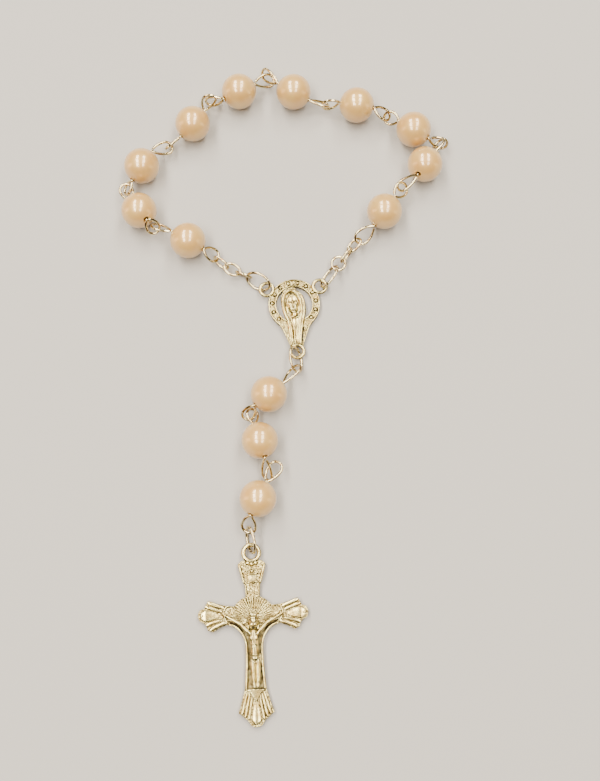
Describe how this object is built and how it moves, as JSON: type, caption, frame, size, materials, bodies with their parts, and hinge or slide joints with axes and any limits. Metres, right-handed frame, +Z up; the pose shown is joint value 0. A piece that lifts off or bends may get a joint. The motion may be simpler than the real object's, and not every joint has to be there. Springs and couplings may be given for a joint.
{
  "type": "rosary bracelet",
  "caption": "Rosary bracelet laid out flat: a loop of pearl beads on wire pins and short chains, a pierced medal, a short drop of pearls and a crucifix.",
  "frame": {"origin": "middle of the laid-out bracelet's footprint, on the surface that it lies on", "axes": "+Y from the crucifix towards the far side of the loop, +X to the right as seen from the crucifix, +Z up"},
  "size_m": [0.0754, 0.1476, 0.008],
  "materials": {
    "pearl": "glossy peach-cream pearl lacquer with a soft nacre sheen",
    "wire": "bright plated wire, pale champagne silver",
    "medal_metal": "cast and plated, satin high points and darker recesses",
    "crucifix_metal": "cast and plated, satin high points and darker recesses"
  },
  "bodies": {
    "root": {"bead_01": "pearl", "bead_02": "pearl", "bead_03": "pearl", "bead_04": "pearl", "bead_05": "pearl", "bead_06": "pearl", "bead_07": "pearl", "bead_08": "pearl", "bead_09": "pearl", "bead_10": "pearl", "bead_11": "pearl", "bead_12": "pearl", "bead_13": "pearl", "eye_pin_01": "wire", "eye_pin_02": "wire", "eye_pin_03": "wire", "eye_pin_04": "wire", "eye_pin_05": "wire", "eye_pin_06": "wire", "eye_pin_07": "wire", "eye_pin_08": "wire", "eye_pin_09": "wire", "eye_pin_10": "wire", "eye_pin_11": "wire", "eye_pin_12": "wire", "eye_pin_13": "wire", "link_right_1": "wire", "link_right_2": "wire", "link_right_3": "wire", "link_right_4": "wire", "link_left_1": "wire", "link_left_2": "wire", "link_left_3": "wire", "link_left_4": "wire", "drop_link": "wire", "cross_link": "wire", "medal": "medal_metal", "crucifix": "crucifix_metal"}
  },
  "joints": []
}
